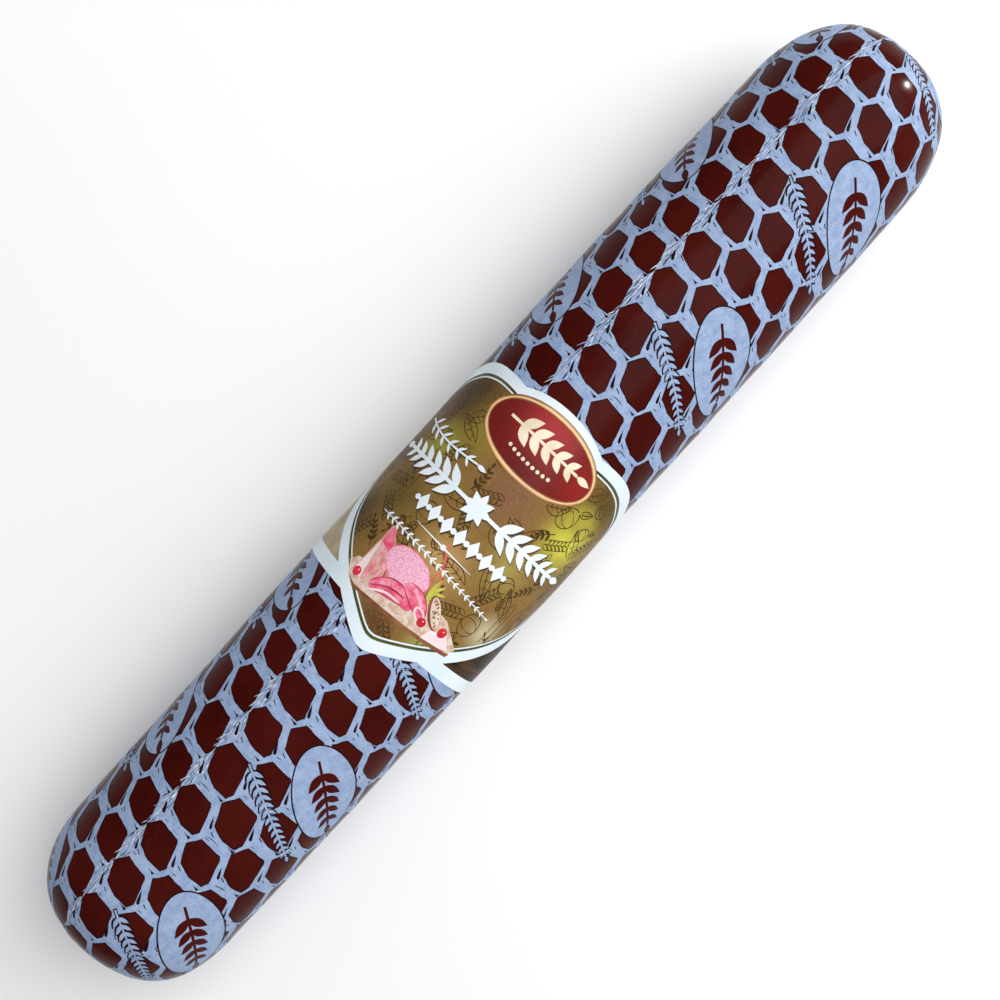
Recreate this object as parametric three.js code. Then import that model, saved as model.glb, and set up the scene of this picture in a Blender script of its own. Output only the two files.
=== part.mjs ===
// A cured sausage in a printed casing with a wrap-around label, lying on a table.
// Millimetres, +Z up. The sausage lies along X with its underside on Z = 0, its label facing up.
// Places on the casing are given as (x, arc): arc is measured round the skin from the top line,
// positive towards -Y, so half the girth is about 102 mm.
import * as THREE from 'three';

// The stuffed casing.
const RADIUS = 32.5;
const FLATTENED_BY = 0.65;
const AXIS_HEIGHT = RADIUS - FLATTENED_BY;
const SHOULDER_TAPER = 0.65;
const DOME_TIP_X = 189;
const DOME_FULLNESS = 2.5;
const RIGHT_DOME_LENGTH = 39;
const LEFT_DOME_LENGTH = 35;
const SEGMENTS_ROUND = 64;
const DOME_STEPS = 11;

// The gathered end: a dimple in the dome, the neck that the clip grips, and the loose tail.
const DIMPLE_RADIUS = 9;
const NECK_RADIUS = 2.2;
const NECK_START_X = 185.8;
const NECK_END_X = 190.4;
const NECK_DROP = 3;
const NECK_DROP_REACH = 16;
const TAIL_TIP_X = 194.6;
const TAIL_RADIUS = 3.6;
const TAIL_DROP = 7;
const TAIL_WIDENING = 1.45;
const TAIL_FLATTENING = 0.7;

// The wrap label and the shallow seat that it presses into the casing.
const GAP = 0.3;
const LABEL_THICKNESS = 0.3;
const LABEL_PROUD = 0.1;
const LABEL_OUTER_RADIUS = RADIUS + LABEL_PROUD;
const LABEL_INNER_RADIUS = LABEL_OUTER_RADIUS - LABEL_THICKNESS;
const SEAT_RADIUS = LABEL_INNER_RADIUS - GAP;
const SEAT_FLOOR = LABEL_THICKNESS + GAP;
const SEAT_FADE = 14;
const LABEL_SEGMENTS = SEGMENTS_ROUND;

// Edges of the label as [arc, x] points: a shield with a badge lobe in front, a plain band behind.
const LABEL_FOOT_EDGE = [
  [-102, -50], [-21, -50], [-13, -54.5], [-5.5, -57.8], [-2.6, -58.3],
  [0.5, -57.6], [5, -54.9], [13.5, -50.4], [102, -50.4],
];
const LABEL_HEAD_EDGE = [
  [-102, 20], [-62, 20], [-54, 21.5], [-45, 28], [-38, 30.6], [-30, 32], [-22, 31.8], [-17, 30.8],
  [-12, 32.8], [-7, 33.8], [-0.5, 34.1], [6, 33.8], [11, 32.4], [15.5, 30.6], [22, 30.7], [28, 30.2],
  [36, 28.2], [44, 24.6], [52, 19.5], [58, 18], [102, 18],
];
const SEAT_FOOT_X = -60;
const SEAT_HEAD_X = 36;

// The crimped wire clips.
const CLIP_BORE_RADIUS = NECK_RADIUS + GAP;
const CLIP_WALL = 1.7;
const CLIP_LENGTH = 2.4;
const CLIP_BEVEL = 0.35;
const CLIP_FOOT_LENGTH = 1.4;
const CLIP_MIDDLE_X = 188.9;

const casingMaterial = new THREE.MeshStandardMaterial({ color: 0x4a1512, roughness: 0.35, metalness: 0 });
const labelMaterial = new THREE.MeshStandardMaterial({ color: 0x8a7a35, roughness: 0.4, metalness: 0 });
const clipMaterial = new THREE.MeshStandardMaterial({ color: 0xc4c6c8, roughness: 0.35, metalness: 1 });

// Height of the edge line at a given arc, read off its points with straight stretches between.
function edgeAt(edge, arc) {
  const next = edge.findIndex(([pointArc]) => pointArc >= arc);
  if (next <= 0) {
    return edge[next === 0 ? 0 : edge.length - 1][1];
  }
  const [arcBefore, xBefore] = edge[next - 1];
  const [arcAfter, xAfter] = edge[next];
  return THREE.MathUtils.mapLinear(arc, arcBefore, arcAfter, xBefore, xAfter);
}

// Arc from the top line of the casing to the direction (y, z) as seen from its axis.
function arcOf(y, z) {
  return RADIUS * Math.atan2(-y, z);
}

// Moves a lathe-turned geometry onto the X axis and then places each of its vertices.
function placeVertices(geometry, place) {
  geometry.rotateZ(-Math.PI / 2);
  const position = geometry.attributes.position;
  const point = new THREE.Vector3();
  for (let i = 0; i < position.count; i += 1) {
    point.fromBufferAttribute(position, i);
    place(point);
    position.setXYZ(i, point.x, point.y, point.z);
  }
  geometry.computeVertexNormals();
  return geometry;
}

// Radius of the barrel-shaped middle at x, without the label's seat.
function barrelRadius(x, shoulderX) {
  const along = Math.min(Math.abs(x) / shoulderX, 1);
  return RADIUS - SHOULDER_TAPER * along ** 3;
}

// Profile points from the shoulder of one end out to the tip of its tail, as [radius, distance].
function endProfile(domeLength) {
  const shoulderX = DOME_TIP_X - domeLength;
  const shoulderRadius = barrelRadius(shoulderX, shoulderX);
  const points = [];
  for (let step = 0; step <= DOME_STEPS; step += 1) {
    const turn = (step / DOME_STEPS) * (Math.PI / 2);
    const radius = shoulderRadius * Math.cos(turn) ** (2 / DOME_FULLNESS);
    const distance = shoulderX + domeLength * Math.sin(turn) ** (2 / DOME_FULLNESS);
    if (radius > DIMPLE_RADIUS) {
      points.push([radius, distance]);
    }
  }
  points.push([DIMPLE_RADIUS, DOME_TIP_X - 0.2]);
  points.push([DIMPLE_RADIUS * 0.65, NECK_START_X + 1.2]);
  points.push([NECK_RADIUS, NECK_START_X]);
  points.push([NECK_RADIUS, NECK_END_X]);
  points.push([TAIL_RADIUS * 0.85, NECK_END_X + 1.4]);
  points.push([TAIL_RADIUS, TAIL_TIP_X - 0.8]);
  points.push([TAIL_RADIUS * 0.8, TAIL_TIP_X]);
  points.push([0, TAIL_TIP_X]);
  return points;
}

// How far the gathered end hangs below the axis of the sausage.
function endDrop(distance, radius) {
  const towardsNeck = THREE.MathUtils.smoothstep(distance, NECK_START_X - 10, NECK_START_X);
  const nearAxis = Math.max(0, 1 - radius / NECK_DROP_REACH);
  const reach = distance > NECK_START_X ? 1 : nearAxis;
  const alongTail = Math.max(0, (distance - NECK_END_X) / (TAIL_TIP_X - NECK_END_X));
  return NECK_DROP * towardsNeck * reach + TAIL_DROP * alongTail ** 1.5;
}

// Slides the seat's round edges along X so that they follow the label's edges, a gap outside them.
function followLabel(x, arc) {
  const foot = edgeAt(LABEL_FOOT_EDGE, arc) - GAP;
  const head = edgeAt(LABEL_HEAD_EDGE, arc) + GAP;
  if (x < SEAT_FOOT_X - SEAT_FADE || x > SEAT_HEAD_X + SEAT_FADE) {
    return x;
  }
  if (x < SEAT_FOOT_X) {
    return THREE.MathUtils.mapLinear(x, SEAT_FOOT_X - SEAT_FADE, SEAT_FOOT_X, SEAT_FOOT_X - SEAT_FADE, foot);
  }
  if (x > SEAT_HEAD_X) {
    return THREE.MathUtils.mapLinear(x, SEAT_HEAD_X, SEAT_HEAD_X + SEAT_FADE, head, SEAT_HEAD_X + SEAT_FADE);
  }
  return THREE.MathUtils.mapLinear(x, SEAT_FOOT_X, SEAT_HEAD_X, foot, head);
}

// The filling in its casing: domed ends, a label seat, and a gathered neck and tail at each end.
function makeSausage() {
  const leftShoulderX = -(DOME_TIP_X - LEFT_DOME_LENGTH);
  const rightShoulderX = DOME_TIP_X - RIGHT_DOME_LENGTH;
  const profile = endProfile(LEFT_DOME_LENGTH).map(([radius, distance]) => [radius, -distance]).reverse();
  for (const along of [0.8, 0.6]) {
    profile.push([barrelRadius(leftShoulderX * along, -leftShoulderX), leftShoulderX * along]);
  }
  profile.push([RADIUS, SEAT_FOOT_X - SEAT_FADE]);
  profile.push([RADIUS, SEAT_FOOT_X]);
  profile.push([SEAT_RADIUS, SEAT_FOOT_X]);
  profile.push([SEAT_RADIUS, SEAT_HEAD_X]);
  profile.push([RADIUS, SEAT_HEAD_X]);
  profile.push([RADIUS, SEAT_HEAD_X + SEAT_FADE]);
  for (const along of [0.55, 0.8]) {
    profile.push([barrelRadius(rightShoulderX * along, rightShoulderX), rightShoulderX * along]);
  }
  profile.push(...endProfile(RIGHT_DOME_LENGTH));
  const turned = new THREE.LatheGeometry(
    profile.map(([radius, x]) => new THREE.Vector2(radius, x)),
    SEGMENTS_ROUND,
  );
  const geometry = placeVertices(turned, (point) => {
    const radius = Math.hypot(point.y, point.z);
    const distance = Math.abs(point.x);
    const inSeat = radius < SEAT_RADIUS + GAP / 2 && point.x >= SEAT_FOOT_X && point.x <= SEAT_HEAD_X;
    if (distance > NECK_END_X) {
      point.y *= TAIL_WIDENING;
      point.z *= TAIL_FLATTENING;
    }
    point.x = followLabel(point.x, arcOf(point.y, point.z));
    const height = AXIS_HEIGHT + point.z - endDrop(distance, radius);
    point.z = Math.max(height, inSeat ? SEAT_FLOOR : 0);
  });
  const mesh = new THREE.Mesh(geometry, casingMaterial);
  mesh.name = 'sausage';
  return mesh;
}

// The printed wrap label: a closed ring whose two edges follow the shield and the band.
function makeLabel() {
  const profile = [
    new THREE.Vector2(LABEL_INNER_RADIUS, -1),
    new THREE.Vector2(LABEL_OUTER_RADIUS, -1),
    new THREE.Vector2(LABEL_OUTER_RADIUS, 1),
    new THREE.Vector2(LABEL_INNER_RADIUS, 1),
    new THREE.Vector2(LABEL_INNER_RADIUS, -1),
  ];
  const geometry = placeVertices(new THREE.LatheGeometry(profile, LABEL_SEGMENTS), (point) => {
    const arc = arcOf(point.y, point.z);
    const isInner = Math.hypot(point.y, point.z) < (LABEL_INNER_RADIUS + LABEL_OUTER_RADIUS) / 2;
    point.x = edgeAt(point.x < 0 ? LABEL_FOOT_EDGE : LABEL_HEAD_EDGE, arc);
    point.z = Math.max(AXIS_HEIGHT + point.z, isInner ? LABEL_THICKNESS : 0);
  });
  const mesh = new THREE.Mesh(geometry, labelMaterial);
  mesh.name = 'wrap_label';
  return mesh;
}

// A flat wire clip crimped round the neck: a ring drawn down into a short foot of two closed legs.
function makeClip(name, side) {
  const outer = CLIP_BORE_RADIUS + CLIP_WALL;
  const footHalfWidth = CLIP_WALL * 1.35;
  const footAngle = Math.asin(footHalfWidth / outer);
  const footY = -outer - CLIP_FOOT_LENGTH;
  const outline = new THREE.Shape();
  outline.moveTo(footHalfWidth, footY);
  outline.lineTo(footHalfWidth, -outer * Math.cos(footAngle));
  outline.absarc(0, 0, outer, -Math.PI / 2 + footAngle, Math.PI * 1.5 - footAngle, false);
  outline.lineTo(-footHalfWidth, footY);
  outline.closePath();
  const bore = new THREE.Path();
  bore.absarc(0, 0, CLIP_BORE_RADIUS + CLIP_BEVEL, 0, Math.PI * 2, true);
  outline.holes.push(bore);
  const geometry = new THREE.ExtrudeGeometry(outline, {
    depth: CLIP_LENGTH - 2 * CLIP_BEVEL,
    bevelEnabled: true,
    bevelThickness: CLIP_BEVEL,
    bevelSize: CLIP_BEVEL,
    bevelOffset: -CLIP_BEVEL,
    bevelSegments: 2,
    curveSegments: 12,
  });
  geometry.translate(0, 0, CLIP_BEVEL - CLIP_LENGTH / 2);
  geometry.rotateX(Math.PI / 2);
  geometry.rotateZ(Math.PI / 2);
  const mesh = new THREE.Mesh(geometry, clipMaterial);
  mesh.name = name;
  mesh.position.set(side * CLIP_MIDDLE_X, 0, AXIS_HEIGHT - NECK_DROP);
  return mesh;
}

const group = new THREE.Group();
group.add(makeSausage());
group.add(makeLabel());
group.add(makeClip('clip_right', 1));
group.add(makeClip('clip_left', -1));

export default group;
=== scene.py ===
"""A cured sausage in a net-printed casing with a wrap label, seen from straight above.

Places on the casing are print places (u, v) in millimetres, on the film as it was printed flat:
u runs along the skin from the middle towards the right end, v runs round it from the top line
towards the camera's lower right. Everything is turned into metres when a mesh is made.
"""
import math
import random

import bpy
import numpy as np
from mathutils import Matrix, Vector
from mathutils.geometry import delaunay_2d_cdt


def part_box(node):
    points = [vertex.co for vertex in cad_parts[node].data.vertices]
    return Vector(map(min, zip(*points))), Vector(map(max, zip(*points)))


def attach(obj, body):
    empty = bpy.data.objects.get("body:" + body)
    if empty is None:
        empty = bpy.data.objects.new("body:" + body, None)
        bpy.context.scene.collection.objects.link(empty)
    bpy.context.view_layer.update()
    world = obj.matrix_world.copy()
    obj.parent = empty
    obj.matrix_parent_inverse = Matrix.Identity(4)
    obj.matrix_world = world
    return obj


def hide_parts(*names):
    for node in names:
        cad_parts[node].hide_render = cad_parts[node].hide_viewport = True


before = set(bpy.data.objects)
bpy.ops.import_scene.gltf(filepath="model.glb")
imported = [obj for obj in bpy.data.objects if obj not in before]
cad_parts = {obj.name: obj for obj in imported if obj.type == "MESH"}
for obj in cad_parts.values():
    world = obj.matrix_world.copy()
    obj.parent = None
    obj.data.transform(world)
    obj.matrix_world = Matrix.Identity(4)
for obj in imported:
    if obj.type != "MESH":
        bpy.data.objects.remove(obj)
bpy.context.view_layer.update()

MM = 0.001
MM_PER_UV = 100

# ---------------------------------------------------------------- sizes, in mm
body_low, body_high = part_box("sausage")
clip_low, clip_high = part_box("clip_right")
RADIUS = (body_high.y - body_low.y) / 2 / MM
AXIS_HEIGHT = body_high.z / MM - RADIUS
TAIL_TIP_X = body_high.x / MM
CLIP_X = (clip_low.x + clip_high.x) / 2 / MM
CLIP_LENGTH = (clip_high.x - clip_low.x) / MM
GIRTH = 2 * math.pi * RADIUS

SHOULDER_TAPER = 0.65
DOME_TIP_X = CLIP_X + 0.1
DOME_LENGTH = {"left": 34.0, "right": 39.0}
DOME_FULLNESS = {"left": 2.7, "right": 2.5}
DOME_SET_BACK = {"left": 1.4, "right": 0.0}
DIMPLE_RADIUS = 11.0
DIMPLE_DEPTH = 3.1
NECK_RADIUS = 2.2
NECK_DROP = 3.0
TAIL_DROP = 7.0
TAIL_RADIUS, TAIL_FLARE, TAIL_CURL = 1.95, 1.7, 0.3
TAIL_START = 0.6
TAIL_HOLLOW = 1.2
CLIP_LEG = 1.9
WIRE_HALF_DEPTH = 0.82
WIRE_GAP = 0.06

SEAM_V = -12.0
LABEL_HIDES_SEAM = (-52.0, 28.0)
PLEATS = 23

LEAST_AREA = 0.02
LONGEST_EDGE = 1.8
SAME_PLACE = 0.001
WELD = 1e-4
ROW_OF_TRIANGLES = 0.866
SLOPE_REACH = 0.6
ONLY_WITHIN = {"line": "field"}
INK_LIFT = 0.04
GLINT_LIFT = 0.07
LABEL_LIFT = 0.18
LABEL_PRINT_LIFT = 0.21
LOWEST_LIFT = 0.24

# The net print: cells in rows round the casing, repeated by a printing roller.
CELL_PITCH = 14.43
ROLLER_CELLS = 12
ROLLER_GAP = 2.0
ROWS_ABOVE_SEAM = 6
ROWS = 16
SEAM_ROW_STEP = 13.55
SEAM_ROW_SLIDE = -5.05
ROW_STEP = (GIRTH - SEAM_ROW_STEP) / (ROWS - 1)
ROW_SLIDE = (5 * CELL_PITCH + SEAM_ROW_SLIDE) / ROWS
FIRST_CELL = (-110.8, -5.1)
CELL_OUTLINE = [(1.8, -6.95), (5.7, -4.05), (5.3, -0.6), (5.0, 3.5), (4.1, 4.35),
                (-3.6, 6.9), (-5.65, 5.8), (-5.65, 1.0), (-3.9, -4.0)]
CELL_WIDTH = 11.3
CELL_HALF = (5.6, 6.9)
CELL_RIM = 0.3
CELL_EDGE = 1.9
CELL_WOBBLE = 0.13
SLITS = [
    [(-6.6, -4.7), (-6.4, -5.35), (-5.6, -5.8), (-2.6, -6.75), (-4.3, -5.5), (-6.0, -4.5)],
    [(7.9, 2.9), (7.8, 4.6), (7.9, 5.8), (6.95, 5.35), (7.5, 4.4)],
    [(6.8, -3.8), (7.05, -3.8), (7.05, -2.5), (6.85, -2.5)],
    [(9.1, -3.7), (9.45, -3.6), (8.65, -2.0), (8.4, -2.1)],
]
OVAL_HALF = (18.9, 10.65)
OVAL_TURN = math.radians(-54.4)
OVAL_ROWS = [(75.8, 24.9), (62.0, -41.6), (89.6, 91.4)]
OVAL_STEP = 4 * CELL_PITCH
OVAL_RIM = 0.5
OVAL_ROW_START = (-5.6, -26.5)
OVAL_ROW_END = (-22.5, 5.5)

# The label: a shield with a badge lobe on a plain band.
SHIELD_CENTRE = (-10.0, -1.0)
SHIELD_HALF = [(0, -58.3), (3.2, -57.5), (10.8, -53.4), (18, -49.2), (24.4, -45.0), (32.5, -38.8),
               (40.2, -31.8), (47.5, -23.5), (52.5, -14.0), (55, -3.0), (54.5, 9.0), (51, 18.5),
               (46, 24.0), (40.4, 27.6), (35.9, 29.8), (29.2, 31.2), (22.2, 31.3), (15.7, 30.6)]
SHIELD_RINGS = [("frame", 0.914), ("white", 0.893), ("field", 0.881)]
BADGE_CENTRE = (20.1, -0.7)
BADGE_LOBE = (14.0, 24.5)
BADGE_HALF = (11.7, 21.5)
BADGE_RINGS = [("badge_edge", 0.0), ("gold", 0.25), ("badge_bright", 0.75), ("gold", 1.15),
               ("badge_edge", 1.45), ("red", 1.75)]
BAND_EDGES = (-50.2, 18.5)
BAND_BORDER = 4.6
LABEL_TILT = 0.9
LAP_V = 70.0
LAP_WIDTH = 8.0
LAP_LIFT = 0.16
LABEL_UNDERSIDE_LIFT = 0.06

CAMERA_OVER = (1.249, -0.566)
CAMERA_ABOVE_AXIS = 438.3
CAMERA_TURN = -47.41
BRIGHT_SKY = (0.3, -0.5, 0.81)
SKY_RANGE = (-0.5, 1.0, 0.10, 0.6)
SKY_SEEN = 0.9


# ---------------------------------------------------------------- the skin of the sausage
def smoothstep(value, low, high):
    """0 below low, 1 above high, smooth in between."""
    t = np.clip((value - low) / (high - low), 0.0, 1.0)
    return t * t * (3 - 2 * t)


def end_profile(side):
    """Skin profile of one end from its shoulder to the clip: distance along the skin, x and radius."""
    shoulder = DOME_TIP_X - DOME_SET_BACK[side] - DOME_LENGTH[side]
    power = 2 / DOME_FULLNESS[side]
    turn = np.linspace(0, math.pi / 2, 400)
    x = shoulder + DOME_LENGTH[side] * np.sin(turn) ** power
    radius = (RADIUS - SHOULDER_TAPER) * np.cos(turn) ** power
    x = x - DIMPLE_DEPTH * (1 - smoothstep(radius, NECK_RADIUS, DIMPLE_RADIUS))
    kept = radius > NECK_RADIUS
    x = np.append(x[kept], CLIP_X)
    radius = np.append(radius[kept], NECK_RADIUS)
    along = shoulder + np.concatenate([[0], np.cumsum(np.hypot(np.diff(x), np.diff(radius)))])
    return along, x, radius


def whole_profile():
    """Skin profile from clip to clip, as tables of u, x and radius."""
    left_u, left_x, left_radius = end_profile("left")
    right_u, right_x, right_radius = end_profile("right")
    middle_u = np.linspace(-left_u[0] + 2, right_u[0] - 2, 120)
    shoulder = np.where(middle_u < 0, left_u[0], right_u[0])
    middle_radius = RADIUS - SHOULDER_TAPER * np.abs(middle_u / shoulder) ** 3
    u = np.concatenate([-left_u[::-1], middle_u, right_u])
    x = np.concatenate([-left_x[::-1], middle_u, right_x])
    radius = np.concatenate([left_radius[::-1], middle_radius, right_radius])
    return u, x, radius


PROFILE_U, PROFILE_X, PROFILE_RADIUS = whole_profile()


def seam_distance(v):
    """Distance round the skin from the seam, positive on its lower side."""
    return (v - SEAM_V + GIRTH / 2) % GIRTH - GIRTH / 2


def seam_relief(u, v):
    """The glued film edge: a fine ridge, the thicker lap beside it and the crinkles across it."""
    away = seam_distance(v)
    away = away - (0.12 * np.sin(u / 7.3) + 0.06 * np.sin(u / 2.9 + 1.0))
    ridge = 0.16 * np.exp(-(away / 0.4) ** 2)
    lap = 0.07 * smoothstep(away, -0.3, 0.2) * (1 - smoothstep(away, 4.0, 6.5))
    crinkle = 0.05 * np.sin(u * 3.1 + 2 * np.sin(u / 5.0)) * np.exp(-(away / 1.3) ** 2)
    under_label = smoothstep(u, -62, -56) * (1 - smoothstep(u, 32, 38))
    return (ridge + lap + crinkle) * (1 - 0.8 * under_label)


def skin_waves(u, v):
    """Low swells of the filling under the tight film."""
    angle = v / RADIUS
    waves = 0.10 * np.sin(u / 21.0 + 2 * angle + 0.7) + 0.08 * np.sin(u / 13.0 - 3 * angle + 2.1)
    return waves + 0.05 * np.sin(u / 7.5 + 5 * angle + 0.4) + 0.04 * np.sin(u / 5.1 - 7 * angle)


def pleat_relief(v, radius):
    """Folds of the gathered film, deepest at the neck and gone at the shoulder."""
    angle = v / RADIUS
    phase = PLEATS * angle / 2 + 0.9 * np.sin(3 * angle + 0.5) + 0.5 * np.sin(5 * angle + 2.0)
    fold = 1 - np.abs(np.sin(phase)) ** 0.7 - 0.35
    unevenness = 1 + 0.45 * np.sin(4 * angle + 1.2) + 0.25 * np.sin(9 * angle)
    depth = 0.75 * np.exp(-(radius / 9.5) ** 2) + 0.10 * (1 - smoothstep(radius, 12, 29))
    return fold * unevenness * depth


def profile_at(u):
    """x and radius of the skin at u."""
    return np.interp(u, PROFILE_U, PROFILE_X), np.interp(u, PROFILE_U, PROFILE_RADIUS)


def on_skin(u, v, lift):
    """Places in metres of print places on the skin, raised off it by lift mm."""
    x, radius = profile_at(u)
    ahead, behind = profile_at(u + SLOPE_REACH), profile_at(u - SLOPE_REACH)
    rise_x, rise_radius = ahead[0] - behind[0], ahead[1] - behind[1]
    length = np.hypot(rise_x, rise_radius)
    out = lift + skin_waves(u, v) + seam_relief(u, v) + pleat_relief(v, radius)
    x = x - rise_radius / length * out
    swollen = radius + rise_x / length * out
    angle = v / RADIUS
    at_end = smoothstep(np.abs(x), DOME_TIP_X - 35, DOME_TIP_X - 10)
    drop = NECK_DROP * at_end * (1 - smoothstep(radius, 6.0, 24.0))
    z = AXIS_HEIGHT + swollen * np.cos(angle) - drop
    floor = LOWEST_LIFT - lift
    softness = 0.25
    z = floor + ((z - floor) + np.sqrt((z - floor) ** 2 + softness ** 2)) / 2
    return np.stack([x, -swollen * np.sin(angle), z], axis=-1) * MM


def on_label(u, v, lift):
    """Places in metres of label places: the label sits a little askew and laps over itself."""
    lapped = LAP_LIFT * smoothstep(v, LAP_V - 2.0, LAP_V)
    return on_skin(u - LABEL_TILT * np.sin(v / RADIUS), v, lift + lapped)


def surface_normals(surface, u, v, lift):
    """Outward directions of a surface at print places."""
    step = 0.15
    along = surface(u + step, v, lift) - surface(u - step, v, lift)
    around = surface(u, v + step, lift) - surface(u, v - step, lift)
    normal = np.cross(around, along)
    return normal / np.linalg.norm(normal, axis=1, keepdims=True)


# ---------------------------------------------------------------- flat drawing
def turned(points, centre, angle=0.0, size=1.0):
    """Points of a drawing turned, scaled and moved to its centre."""
    c, s = math.cos(angle) * size, math.sin(angle) * size
    return [(centre[0] + c * p - s * q, centre[1] + s * p + c * q) for p, q in points]


def ellipse(centre, half, angle=0.0, steps=48):
    """Outline of an ellipse with half axes half."""
    ring = [(half[0] * math.cos(t), half[1] * math.sin(t))
            for t in (2 * math.pi * i / steps for i in range(steps))]
    return turned(ring, centre, angle)


def direction_at(points, i):
    """The direction of a line at one of its points, from the points beside it."""
    ahead, behind = points[min(i + 1, len(points) - 1)], points[max(i - 1, 0)]
    dp, dq = ahead[0] - behind[0], ahead[1] - behind[1]
    length = math.hypot(dp, dq)
    return dp / length, dq / length


def stroke(points, widths):
    """Outline of a drawn line through points, with a width at each."""
    left, right = [], []
    for i, (p, q) in enumerate(points):
        dp, dq = direction_at(points, i)
        half = widths[i] / 2
        left.append((p - dq * half, q + dp * half))
        right.append((p + dq * half, q - dp * half))
    return left + right[::-1]


def leaf(length, width, steps=7):
    """Outline of a pointed leaf from the origin along the first axis."""
    parts = [i / steps for i in range(1, steps)]
    upper = [(length * t, width / 2 * math.sin(math.pi * t ** 0.85)) for t in parts]
    lower = [(p, -q) for p, q in reversed(upper)]
    return [(0.0, 0.0)] + upper + [(length, 0.0)] + lower


def sprig(kind, centre, angle, length, leaf_length, pairs, stem, bend=0.0, fullness=0.42):
    """A twig with leaves in pairs and one at its tip, as shapes of one kind."""
    parts = [i / (pairs + 1) for i in range(pairs + 2)]
    spine = [((t - 0.5) * length, bend * math.sin(math.pi * t)) for t in parts]
    placed = turned(spine, centre, angle)
    shapes = [(kind, stroke(placed, [stem] * len(placed)))]
    for i in range(1, pairs + 1):
        size = 1.0 - 0.35 * i / pairs
        for side in (-1, 1):
            shape = leaf(leaf_length * size, leaf_length * size * fullness)
            shapes.append((kind, turned(shape, placed[i], angle + side * 0.75)))
    shapes.append((kind, turned(leaf(leaf_length * 0.75, leaf_length * 0.3), placed[-1], angle)))
    return shapes


def fill_grid(low, high, step):
    """Places on a staggered grid, to keep triangles small."""
    places = []
    row = 0
    q = low[1] + step / 2
    while q < high[1]:
        p = low[0] + step * (0.5 if row % 2 else 0.25)
        while p < high[0]:
            places.append((p, q))
            p += step
        q += step * ROW_OF_TRIANGLES
        row += 1
    return places


def densify(outline, step):
    """An outline with places added so that none of its edges is longer than step."""
    dense = []
    for (p, q), (next_p, next_q) in zip(outline, outline[1:] + outline[:1]):
        pieces = max(1, math.ceil(math.hypot(next_p - p, next_q - q) / step))
        for i in range(pieces):
            t = i / pieces
            dense.append((p + (next_p - p) * t, q + (next_q - q) * t))
    return dense


def clipped(outline, low, high):
    """The part of an outline that lies inside a rectangle."""
    for axis, limit, side in ((0, low[0], 1), (0, high[0], -1), (1, low[1], 1), (1, high[1], -1)):
        kept = []
        for start, end in zip(outline, outline[1:] + outline[:1]):
            start_depth = (start[axis] - limit) * side
            end_depth = (end[axis] - limit) * side
            if start_depth >= 0:
                kept.append(start)
            if start_depth * end_depth < 0:
                t = start_depth / (start_depth - end_depth)
                cut = [s + (e - s) * t for s, e in zip(start, end)]
                cut[axis] = limit
                kept.append(tuple(cut))
        outline = kept
    return outline


def enclosed_area(outline):
    """Area of an outline, negative if it runs clockwise."""
    return sum(p * next_q - next_p * q
               for (p, q), (next_p, next_q) in zip(outline, outline[1:] + outline[:1])) / 2


def arrange(shapes, fill):
    """Cuts the plane along every outline: its corners, its triangles and the topmost kind on each."""
    shapes = [(kind, outline) for kind, outline in shapes if abs(enclosed_area(outline)) > LEAST_AREA]
    corners, loops = [], []
    for _, outline in shapes:
        if enclosed_area(outline) < 0:
            outline = outline[::-1]
        outline = densify(outline, LONGEST_EDGE)
        loops.append(list(range(len(corners), len(corners) + len(outline))))
        corners.extend(outline)
    corners.extend(fill)
    points, _, triangles, _, _, owners = delaunay_2d_cdt(
        [Vector(corner) for corner in corners], [], loops, 0, WELD, True)
    kinds = []
    for owner in owners:
        stack = [shapes[i][0] for i in sorted(owner)]
        while stack and stack[-1] in ONLY_WITHIN and ONLY_WITHIN[stack[-1]] not in stack:
            stack.pop()
        kinds.append(stack[-1] if stack else None)
    return np.array([(p.x, p.y) for p in points]), triangles, kinds


def pick(arranged, wanted):
    """The part of an arrangement whose kinds are wanted, with only its own corners."""
    points, triangles, kinds = arranged
    chosen = np.array([t for t, kind in zip(triangles, kinds) if kind in wanted])
    used, flat = np.unique(chosen, return_inverse=True)
    return points[used], flat.reshape(-1, 3)


# ---------------------------------------------------------------- meshes
def make_mesh(name, positions, triangles, material, corner_normals=None, corner_places=None):
    """A smooth object from positions in metres, with its print places as a UV map."""
    mesh = bpy.data.meshes.new(name)
    mesh.from_pydata(np.asarray(positions).tolist(), [], np.asarray(triangles).tolist())
    mesh.shade_smooth()
    if corner_places is not None:
        layer = mesh.uv_layers.new(name="print")
        layer.data.foreach_set("uv", (corner_places / MM_PER_UV).astype(np.float32).ravel())
    if corner_normals is not None:
        mesh.normals_split_custom_set(corner_normals.reshape(-1, 3).tolist())
    mesh.materials.append(material)
    piece = bpy.data.objects.new(name, mesh)
    bpy.context.scene.collection.objects.link(piece)
    return piece


def add_piece(piece, slot, *nodes):
    """Fixes a piece to the sausage and hides the CAD nodes that it stands for; slot is not used."""
    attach(piece, "root")
    if nodes:
        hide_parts(*nodes)


def printed_piece(name, flat, lift, material, slot, surface=on_skin):
    """A printed layer lying on the skin or on the label."""
    points, triangles = flat
    u, v = points[:, 0], points[:, 1]
    outward = triangles[:, ::-1]
    normals = surface_normals(surface, u, v, lift)
    piece = make_mesh(name, surface(u, v, lift), outward, material, normals[outward], points[outward])
    add_piece(piece, slot)


# ---------------------------------------------------------------- materials
def tint(red, green, blue):
    """A linear colour from display values of 0 to 255."""
    channels = []
    for value in (red, green, blue):
        level = value / 255
        channels.append(level / 12.92 if level <= 0.04045 else ((level + 0.055) / 1.055) ** 2.4)
    return (*channels, 1.0)


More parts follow.
